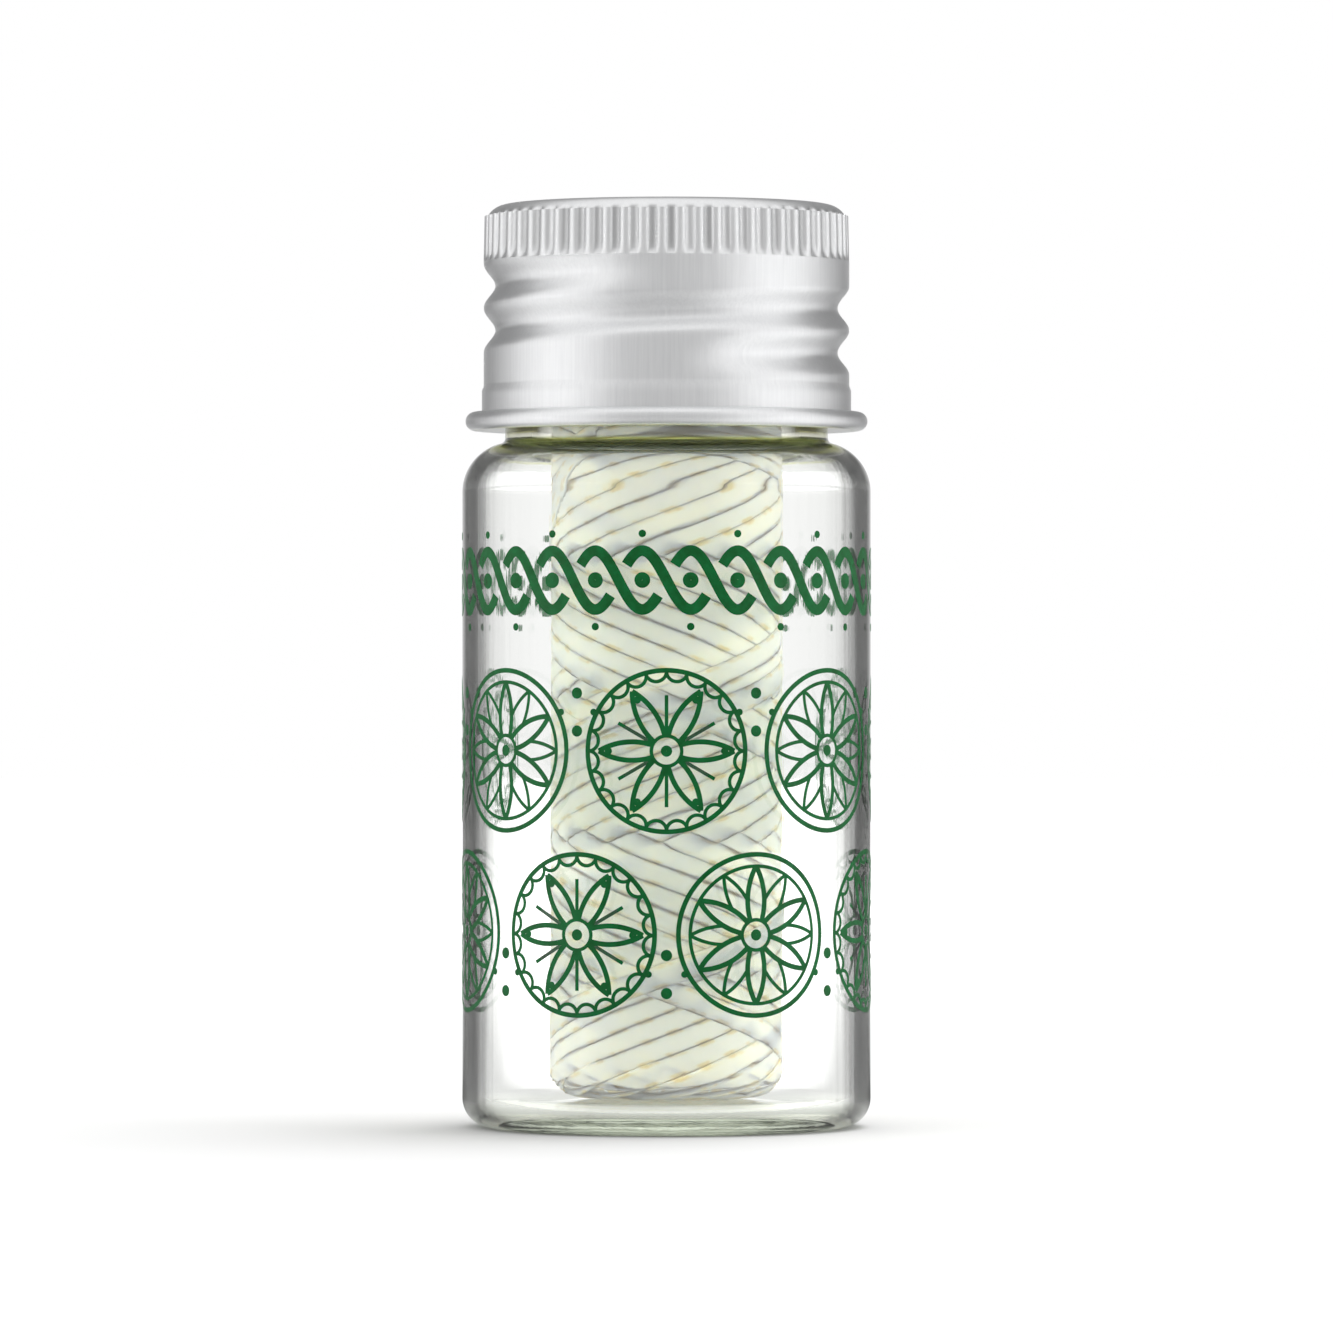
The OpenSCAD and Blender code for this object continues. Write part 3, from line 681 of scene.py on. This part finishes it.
bobbin = {
    "low": 1.65, "high": 37.75, "outerR": 6.23, "baseR": 6.02, "lowCorner": 1.45,
    "underRun": 1.2, "holeR": 1.6, "family": 13,  # strands side by side round the bobbin
    "passTurns": 32 / 13, "passes": 26, "turnback": 0.05, "wobble": 0.03,
    "lowT": 2.0, "highPlay": 0.5, "endPlay": 0.14, "highEndPlay": 0.05, "lastShare": 0.875,
    "lastClimb": 0.93, "lastLift": 0.03, "endRun": 1.2, "endPress": 0.62, "pileShare": 1.25,
    "halfW": 0.62, "halfT": 0.052, "drop": 0.13,
    "samples": 1500, "rings": 96, "cell": 0.07, "cellsRound": 560, "seed": 7,
    "layerColumns": 280, "layerRows": 190, "layerStart": 0.9, "ridge": 0.03, "ridgePitch": 1.19,
    "endRidge": 0.16, "endPitch": 0.62, "lowFaceR": 4.6, "highFaceR": 5.3,
    # from the open white of the floss to the tan of the painted shade in its gaps
    "colours": [(0.0, (0.95, 0.845, 0.64)), (0.35, (0.94, 0.815, 0.58)),
                (0.65, (0.92, 0.735, 0.455)), (1.0, (0.87, 0.64, 0.33))],
    "ownSeam": (0.03, 0.24), "underSeam": (0.14, 0.48), "seamShadeSpan": (0.0, 0.09),
}
lead = {
    "webTopZ": 46.3, "threadR": 0.29, "sides": 14,
    "points": np.array([  # heights above the plug's web
        [-3.0, -4.9, -7.9], [-3.0, -4.4, -7.1], [-2.9, -3.5, -6.0], [-2.6, -2.2, -4.5],
        [-2.3, -0.8, -2.7], [-2.2, 0, -1.2], [-2.2, 0, 0.1], [-2.15, -0.05, 0.55],
        [-1.8, -0.25, 0.75], [-1.1, -0.6, 0.7], [-0.3, -0.85, 0.65], [0.4, -0.8, 0.65],
        [0.85, -0.35, 0.65], [0.95, 0.3, 0.65], [0.95, 1, 0.65], [1.1, 1.8, 0.65],
        [1.5, 2.7, 0.65], [2.1, 3.5, 0.65]]),
}


# 1 on the seam between two strands and 0 away from it, by the distance of a phase, counted in
# strands, from a half
def seamMark(tree, name, close, far):
    off = math(tree, "SUBTRACT", math(tree, "FRACT", carried(tree, name)), 0.5)
    return smooth(tree, math(tree, "ABSOLUTE", off), close, far, 1.0, 0.0)


# Waxed thread with fine fibres and painted shade: tan in small marks where the seam beside a strand
# crosses a seam of the strands below, a little along each seam beside a strand, and where a mesh is
# marked as shaded
def flossMaterial():
    made, tree, shader, _ = newMaterial("waxed_floss")
    blotch = grainNoise(tree, (1, 1, 1), 900, 3.0)
    uneven = put(tree, "MapRange", Value=grainNoise(tree, (1, 1, 1), 1100, 3.0),
                 From_Min=0.36, From_Max=0.60, To_Min=0.3, To_Max=1.1).outputs[0]
    # painted shade: tan where the gaps between strands cross
    crossed = math(tree, "MULTIPLY", seamMark(tree, "ownPhase", *bobbin["ownSeam"]),
                   seamMark(tree, "underPhase", *bobbin["underSeam"]))
    crossed = math(tree, "MULTIPLY", crossed, uneven)
    # painted shade along the seam beside each strand
    beside = seamMark(tree, "ownPhase", *bobbin["seamShadeSpan"])
    beside = math(tree, "MULTIPLY", beside, 0.30)
    depth = math(tree, "MAXIMUM", math(tree, "MAXIMUM", carried(tree, "shadeLevel"), beside), crossed)
    patch = math(tree, "MULTIPLY", math(tree, "SUBTRACT", blotch, 0.5), 0.14)
    colour = ramp(tree, math(tree, "ADD", depth, patch), bobbin["colours"])
    fibre = put(tree, "Mapping", Vector=put(tree, "TexCoord").outputs["UV"],
                Scale=(0.9, 26, 1), Rotation=(0, 0, 0.35)).outputs[0]
    hair = put(tree, "TexNoise", Vector=fibre, Scale=1.0, Detail=3.0).outputs["Fac"]
    height = math(tree, "ADD", math(tree, "MULTIPLY", hair, 0.7),
                  math(tree, "MULTIPLY", blotch, 0.3))
    feed(tree, shader, Base_Color=colour, Normal=bump(tree, height, 0.35, 0.00004),
         Roughness=0.48, Subsurface_Weight=0.85, Subsurface_Radius=(1.0, 0.85, 0.6),
         Subsurface_Scale=0.0005, Sheen_Weight=0.15)
    return made


# Meridian of the base that the thread is wound on: out along the lower end, round its corner
# and up the side. Gives place and outward direction by length t along it.
def baseMeridian(t):
    b = bobbin
    low, corner = b["low"] + b["outerR"] - b["baseR"], b["lowCorner"]
    side = np.concatenate([
        [[b["baseR"] - corner - b["underRun"], low]],
        arc(b["baseR"] - corner, low + corner, corner, -90, 0, steps=24),
        [[b["baseR"], b["high"] + 2]]])
    tilt = np.radians(np.concatenate([[-90], np.linspace(-90, 0, 25), [0]]))
    return tuple(np.interp(t, runLengths(side), column) for column in (*side.T, tilt))


# Length of that meridian up to the bobbin's upper end
def meridianTop():
    b = bobbin
    return (b["underRun"] + b["lowCorner"] * np.pi / 2 + b["high"] - b["low"]
            - (b["outerR"] - b["baseR"]) - b["lowCorner"])


# Point at length t and angle a, raised by h along the outward direction of the meridian
def onBobbin(t, a, h):
    r, z, tilt = baseMeridian(t)
    out = r + h * np.cos(tilt)
    return np.stack([out * np.cos(a), out * np.sin(a), z + h * np.sin(tilt)], axis=-1)


# Share of a pass that is wound after a share u of its time: steady, with a parabola at each
# end, where the thread turns back
def passCourse(u):
    e = bobbin["turnback"]
    ending = np.where(u > 1 - e, 1 - e - (1 - u) ** 2 / (2 * e), u - e / 2)
    return np.where(u < e, u ** 2 / (2 * e), ending) / (1 - e)


# Height that a taut strand keeps over the threads below: the highest of the samples near by,
# smoothed by a Hann window. Piled turnbacks press each other flat by a hyperbolic tangent.
def restOn(under, near=5, window=33):
    pad = np.pad(under, near, mode="edge")
    highest = np.max([pad[k:k + len(under)] for k in range(2 * near + 1)], axis=0)
    kernel = np.hanning(window)
    rest = np.convolve(np.pad(highest, window // 2, mode="edge"), kernel / kernel.sum(),
                       mode="valid")
    full, share = 2 * bobbin["halfT"], bobbin["pileShare"]
    pressed = full + full * share * np.tanh((rest - full) / full / share / 2)
    return np.where(rest > full, pressed, rest)


# Winds pass after pass on a height map of the base. A strand lies on the highest thread below
# its width, smoothed along its run as a taut thread is, and leaves its rounded top on the map.
def windBobbin():
    b = bobbin
    rng = np.random.default_rng(b["seed"])
    cell, cols, samples = b["cell"], b["cellsRound"], b["samples"]
    rows = int(meridianTop() / cell) + 1
    height = np.zeros((rows, cols))
    q = np.linspace(-1, 1, 13)  # places across the strand
    crown = b["halfT"] * np.sqrt(1 - (q * 0.97) ** 2)
    endA = np.arctan2(lead["points"][0, 1], lead["points"][0, 0])
    u = np.linspace(0, 1, samples, endpoint=False)
    steady = passCourse(u)
    lowT, highT = b["lowT"], meridianTop() - b["highPlay"]
    stepT = (highT - lowT) / (b["family"] * b["passTurns"])
    kept = []
    for left in range(b["passes"], 0, -1):  # passes still to come, this one included
        climb = steady
        if left == 1:  # the last one is slower and hurries up at its end
            hurry = ease((u - b["lastClimb"]) / (1 - b["lastClimb"]))
            climb = b["lastShare"] * steady + (1 - b["lastShare"]) * hurry
        lowEnd = rng.uniform(-b["endPlay"], b["endPlay"])
        highEnd = rng.uniform(-b["endPlay"], b["highEndPlay"])
        share = 1 - climb if left % 2 == 0 else climb
        t = lowT + lowEnd * (1 - share) + (highT + highEnd * share - lowT) * share
        sway = b["wobble"] * np.sin(2 * np.pi * (u * rng.uniform(2, 5) + rng.uniform()))
        angle = endA + 2 * np.pi * ((u - left) * b["passTurns"])
        run = unit(np.stack([np.gradient(angle) * b["outerR"], np.gradient(t)], axis=-1))
        t = t + sway * (1 - np.abs(2 * u - 1) ** 8)
        acrossA = angle[:, None] - run[:, 1:] * q * b["halfW"] / b["outerR"]
        acrossT = t[:, None] + run[:, :1] * q * b["halfW"]
        iT = np.clip((acrossT / cell).round().astype(int), 0, rows - 1)
        iA = (acrossA / (2 * np.pi) * cols).round().astype(int) % cols
        rest = restOn(height[iT, iA][:, 3:-3].max(axis=1))
        ends = ease(np.minimum(t - lowT, highT - t) / b["endRun"])
        centre = rest * (b["endPress"] + (1 - b["endPress"]) * ends) + b["halfT"]
        if left == 1:
            centre = centre + b["lastLift"]
        np.maximum.at(height, (iT, iA), centre[:, None] + crown)
        # place among the strands of the other family, counted in strands
        other = 1.0 if left % 2 else -1.0
        crossed = b["family"] * (angle - endA) / (2 * np.pi) + other * (t - lowT) / stepT
        kept.append(np.stack([angle, t, centre, *run.T, crossed, np.full(samples, other)]))
    print("stage: winding, build", round(float(np.percentile(height, 50)), 3),
          "most", round(float(height.max()), 3))
    return np.concatenate(kept, axis=1), stepT


# Section of the strand: straight sides reach down to the strands below, under a rounded top
def strandSection():
    across = np.array([1, 0.985, 0.4, -0.4, -0.985, -1, -0.81, -0.31, 0.31, 0.81])
    rise = np.array([0, -1, -1, -1, -1, 0, 0.53, 0.94, 0.94, 0.53])
    rise = rise * np.where(rise < 0, bobbin["drop"], bobbin["halfT"])
    return np.stack([across * bobbin["halfW"], rise], axis=-1)


# The outer layers: one flat strand swept along its wound path, whose end rises off the bobbin
# to the running end. The phases count strands from the nearest seam, for the painted tan shade.
def makeStrand(material):
    b = bobbin
    wound, stepT = windBobbin()
    at = np.arange(0, wound.shape[1] - 1, b["samples"] / (b["passTurns"] * b["rings"]))
    whole = np.arange(wound.shape[1])
    angle, t, centre, runA, runT, crossed, other = (np.interp(at, whole, row) for row in wound)
    run = unit(np.stack([runA, runT], axis=-1))
    path = onBobbin(t, angle, centre)
    tilt = baseMeridian(t)[2]
    outward = turned(np.cos(tilt), np.sin(tilt), angle)
    roundTo = np.stack([-np.sin(angle), np.cos(angle), np.zeros_like(angle)], axis=-1)
    upTo = np.cross(outward, roundTo) * -1
    upTo = np.where(upTo[:, 2:] < -0.2, -upTo, upTo)
    side = unit(-run[:, 1:] * roundTo + run[:, :1] * upTo)
    lift = smoothPath([path[-1], lead["points"][0] + [0, -0.04, lead["webTopZ"] - 0.15]], 6)[1:]
    path = np.concatenate([path, lift])
    side = np.concatenate([side, np.repeat(side[-1:], len(lift), axis=0)])
    outward = np.concatenate([outward, np.repeat(outward[-1:], len(lift), axis=0)])
    section = strandSection()
    points, faces, uv, length = sweep(path, side, outward, section)
    across = section[None, :, 0]
    ownPhase = across / (stepT * run[:, :1])
    underPhase = (crossed[:, None]
                  - b["family"] * run[:, 1:] * across / (2 * np.pi * b["outerR"])
                  + other[:, None] * run[:, :1] * across / stepT)
    marks = {name: np.pad(phase.ravel(), (0, len(points) - phase.size))
             for name, phase in (("ownPhase", ownPhase), ("underPhase", underPhase))}
    strand = makePiece("wound_strand", points, faces, material, "bobbin",
                       ["floss_winding"], uv=uv, marks=marks)
    print("stage: strand,", len(strand.data.polygons), "faces,", round(length / 1000, 2), "m")


# An end of the bobbin: a spiral of rounded ridges from the hole's edge out to a radius
def endFace(z, sign, edge, angles):
    start = bobbin["holeR"] + 0.25
    r = start + (edge - start) * np.linspace(0, 1, 34)[:, None]
    ridge = np.abs(np.sin(np.pi * (r / bobbin["endPitch"] + angles / (2 * np.pi)))) ** 0.7
    return turned(r, z + sign * ridge * bobbin["endRidge"], angles)


# The inner layers: ridged lower end, side with the crossing ridges of two families, ridged
# upper end and the mandrel's hole
def makeLayers(material):
    b = bobbin
    angles = fullTurn(b["layerColumns"])[None, :]
    t = np.linspace(b["layerStart"], meridianTop(), b["layerRows"])[:, None]
    place = b["family"] * angles / (2 * np.pi)
    families = [np.abs(np.sin(np.pi * (place + sign * t / b["ridgePitch"])))
                for sign in (-1, 1)]
    wall = onBobbin(t, angles, b["ridge"] * np.maximum(*families) - b["ridge"])
    lowFace = endFace(b["low"] + 0.12, -1, b["lowFaceR"], angles)
    highFace = endFace(b["high"] - 0.3, 1, b["highFaceR"], angles)[::-1]
    holeZ = np.linspace(b["high"] - 0.55, b["low"] + 0.4, 20)[:, None]
    hole = turned(b["holeR"], holeZ, angles)
    # painted tan shade for each part: all of it on the side under the outer strand, less in the
    # hole and on the ends
    parts = [(lowFace, 0.1), (wall, 1.0), (highFace, 0.1), (hole, 0.8)]
    points = np.concatenate([part for part, _ in parts])
    shadeLevel = np.concatenate([np.full(part.shape[:2], level) for part, level in parts])
    uv = np.stack(np.broadcast_arrays(angles * 6, points[..., 2]), axis=-1)
    layers = makePiece("wound_layers", points, gridFaces(*points.shape[:2], wrapRows=True),
                       material, "bobbin", ["floss_core"], uv=uv, marks={"shadeLevel": shadeLevel})
    print("stage: layers,", len(layers.data.polygons), "faces")


# The running end: a round thread along the lead's route, from the bobbin to the cutter
def makeRunningEnd(material):
    path = smoothPath(lead["points"] + [0, 0, lead["webTopZ"]], 6)
    tangent = unit(np.gradient(path, axis=0))
    side = unit(np.cross(tangent, np.array([1.0, -1.0, -1.0])))
    turn = fullTurn(lead["sides"])
    section = lead["threadR"] * np.stack([np.cos(turn), np.sin(turn)], axis=-1)
    points, faces, uv, length = sweep(path, side, np.cross(side, tangent), section)
    makePiece("running_end", points, faces, material, "plug", ["floss_lead"], uv=uv,
              marks={"shadeLevel": np.zeros(len(points))})
    print("stage: running end,", round(length, 1), "mm")


floss = flossMaterial()
makeStrand(floss)
makeLayers(floss)
makeRunningEnd(floss)


# Plug, cutter and liner keep their CAD solids and only get a material
def dressNode(name, material):
    mesh = nodes[name].data
    mesh.materials.clear()
    mesh.materials.append(material)


# two colours each, and the range of the roughness
dressing = {
    "silicone": ((0.62, 0.64, 0.63), (0.71, 0.725, 0.71)), "siliconeRough": (0.38, 0.52),
    "steel": ((0.60, 0.61, 0.62), (0.74, 0.745, 0.75)), "steelRough": (0.2, 0.38),
    "foam": ((0.60, 0.60, 0.57), (0.78, 0.78, 0.75)), "foamCells": 4500.0,
}


# Milky silicone: cloudy colour and roughness, finely pebbled skin, light under it
def siliconeMaterial():
    made, tree, shader, _ = newMaterial("milky_silicone")
    cloud = grainNoise(tree, (1, 1, 1), 350, 3.0)
    feed(tree, shader, Base_Color=mottled(tree, cloud, dressing["silicone"]),
         Normal=bump(tree, grainNoise(tree, (1, 1, 1), 6000), 0.12, 0.00003),
         Roughness=spread(tree, cloud, *dressing["siliconeRough"]), Subsurface_Weight=0.4,
         Subsurface_Radius=(1.0, 1.0, 0.9), Subsurface_Scale=0.0015)
    return made


# Stainless sheet, brushed along one direction
def steelMaterial():
    made, tree, shader, _ = newMaterial("brushed_steel")
    brush = grainNoise(tree, (1, 0.02, 1), 9000, 3.0, 0.7)
    feed(tree, shader, Base_Color=mottled(tree, brush, dressing["steel"]), Metallic=1.0,
         Roughness=spread(tree, brush, *dressing["steelRough"]),
         Normal=bump(tree, brush, 0.15, 0.00002))
    return made


# Closed-cell foam: the distance to a cell's middle gives colour and relief
def foamMaterial():
    made, tree, shader, _ = newMaterial("white_foam")
    cell = put(tree, "TexVoronoi", Vector=objectPlace(tree),
               Scale=dressing["foamCells"]).outputs["Distance"]
    feed(tree, shader, Base_Color=mottled(tree, cell, dressing["foam"], (0.1, 0.5)),
         Normal=bump(tree, cell, 0.4, 0.00006), Roughness=0.9)
    return made


dressNode("neck_plug", siliconeMaterial())
dressNode("cutter", steelMaterial())
dressNode("cap_liner", foamMaterial())
print("stage: plug, cutter and liner dressed")


view = {"distance": 0.455, "height": 0.0248, "lens": 228.0, "sensor": 36.0, "clip": (0.01, 10)}


# A level camera straight in front of the print
def placeCamera():
    data = bpy.data.cameras.new("camera")
    data.lens, data.sensor_width = view["lens"], view["sensor"]
    data.clip_start, data.clip_end = view["clip"]
    camera = bpy.data.objects.new("camera", data)
    camera.location = (0, -view["distance"], view["height"])
    camera.rotation_euler = (np.pi / 2, 0, 0)
    scene.collection.objects.link(camera)
    scene.camera = camera


studio = {
    "floorColour": 0.70, "floorHalf": 1.4, "strength": 1.06, "fill": 0.85,
    # glow of the floor near the object, seen plainly and through the glass, and where it ends
    "floorGlow": 0.03, "glassGlow": 0.6, "glowNear": 0.05, "glowFar": 0.30,
    # brightness by degrees from +Y, to either side
    "around": [(14, 0.75), (25, 0.18), (36, 0.25), (60, 0.60), (80, 0.98), (130, 0.98),
               (152, 0.57), (180, 0.57)],
    "behind": 0.2, "overhead": 0.92,
    # power, size and place of each lamp
    "lamps": [(1.6, 0.34, (0.13, 0.12, 0.45)), (4.2, 0.24, (0.64, -0.22, 0.05)),
              (4.2, 0.24, (-0.64, -0.22, 0.05))],
}


# 1 for what the eye sees directly or through glass, and 0 for the light on things
def seenRays(tree):
    path = put(tree, "LightPath").outputs
    direct = math(tree, "MAXIMUM", path["Is Camera Ray"], path["Is Transmission Ray"])
    return math(tree, "MULTIPLY", direct, math(tree, "LESS_THAN", path["Diffuse Depth"], 0.5))


# Brightness round the studio by azimuth from +Y, a half turn to each side: pale backdrop behind
# the object, dark flags beside it, and soft boxes at the sides
def studioAround(tree, direction):
    axes = put(tree, "SeparateXYZ", Vector=direction).outputs
    azimuth = math(tree, "ARCTAN2", axes["X"], axes["Y"])
    place = math(tree, "ADD", math(tree, "MULTIPLY", azimuth, 0.5 / np.pi), 0.5)
    half = studio["around"]
    stops = [(-degrees, level) for degrees, level in half[::-1]] + half
    return ramp(tree, place, greys(*[(degrees / 360 + 0.5, level) for degrees, level in stops]))


# Pale matt floor that glows to white with distance for the eye alone, and so keeps its shadow.
# Glass and metal mirror dark flags painted on it by azimuth round the object, where no flags stand.
def layFloor():
    made, tree, out = bareMaterial("pale_floor")
    place = objectPlace(tree)
    path = put(tree, "LightPath").outputs
    # painted shade for reflections: dark flags by azimuth, seen only by glossy rays
    paintedFlags = mixColour(tree, path["Is Glossy Ray"], white, studioAround(tree, place))
    level = studio["floorColour"]
    pale = mixColour(tree, 1.0, paintedFlags, (level, level, level, 1), "MULTIPLY")
    matt = put(tree, "BsdfDiffuse", Color=pale)
    far = put(tree, "VectorMath", {"operation": "LENGTH"}, i0=place).outputs["Value"]
    near = spread(tree, path["Is Transmission Ray"], studio["floorGlow"], studio["glassGlow"])
    growing = smooth(tree, far, studio["glowNear"], studio["glowFar"], near, 1.0)
    glow = put(tree, "Emission", Color=white,
               Strength=math(tree, "MULTIPLY", seenRays(tree), growing))
    both = put(tree, "AddShader", i0=matt.outputs[0], i1=glow.outputs[0])
    feed(tree, out, Surface=both.outputs[0])
    mesh = bpy.data.meshes.new("floor")
    half = studio["floorHalf"]
    corners = [(-half, -half, 0), (half, -half, 0), (half, half, 0), (-half, half, 0)]
    mesh.from_pydata(corners, [], [(0, 1, 2, 3)])
    mesh.materials.append(made)
    floor = bpy.data.objects.new("floor", mesh)
    scene.collection.objects.link(floor)


# The studio round the object: dark behind it above the backdrop, and a soft box overhead. Matt
# things get an even light instead, and the eye sees white.
def lightStudio():
    world = bpy.data.worlds.new("studio")
    scene.world = world
    world.use_nodes = True
    tree = world.node_tree
    tree.nodes.clear()
    direction = put(tree, "TexCoord").outputs["Generated"]
    axes = put(tree, "SeparateXYZ", Vector=direction).outputs
    behind, overhead = ((level, level, level, 1)
                        for level in (studio["behind"], studio["overhead"]))
    above = math(tree, "MULTIPLY", smooth(tree, axes["Y"], 0.1, 0.5),
                 smooth(tree, axes["Z"], 0.09, 0.22))
    sky = mixColour(tree, above, studioAround(tree, direction), behind)
    sky = mixColour(tree, smooth(tree, axes["Z"], 0.62, 0.85), sky, overhead)
    mirrored = put(tree, "Background", Color=sky, Strength=studio["strength"])
    even = put(tree, "Background", Color=white, Strength=studio["fill"])
    backdrop = put(tree, "Background", Color=white, Strength=1.0)
    onMatt = put(tree, "LightPath").outputs["Is Diffuse Ray"]
    light = put(tree, "MixShader", i0=onMatt, i1=mirrored.outputs[0], i2=even.outputs[0])
    chosen = put(tree, "MixShader", i0=seenRays(tree), i1=light.outputs[0],
                 i2=backdrop.outputs[0])
    put(tree, "OutputWorld", Surface=chosen.outputs[0])


# A wide lamp at the right gives the floor its shadow, and two low ones light the floss through
# the glass from the sides. None of them shows in metal or glass.
def hangLamps():
    aim = Vector((0, 0, 0.02))
    for number, (power, size, place) in enumerate(studio["lamps"]):
        data = bpy.data.lights.new("lamp" + str(number), "AREA")
        data.energy, data.size = power, size
        lamp = bpy.data.objects.new("lamp" + str(number), data)
        lamp.location = place
        lamp.rotation_euler = (Vector(place) - aim).to_track_quat("Z", "Y").to_euler()
        lamp.visible_camera = lamp.visible_glossy = lamp.visible_transmission = False
        scene.collection.objects.link(lamp)


placeCamera()
layFloor()
lightStudio()
hangLamps()
scene.view_settings.view_transform = "Standard"
scene.cycles.use_denoising = True
scene.cycles.glossy_bounces = scene.cycles.transmission_bounces = 16
scene.cycles.max_bounces = 24
print("stage: camera, floor and studio")
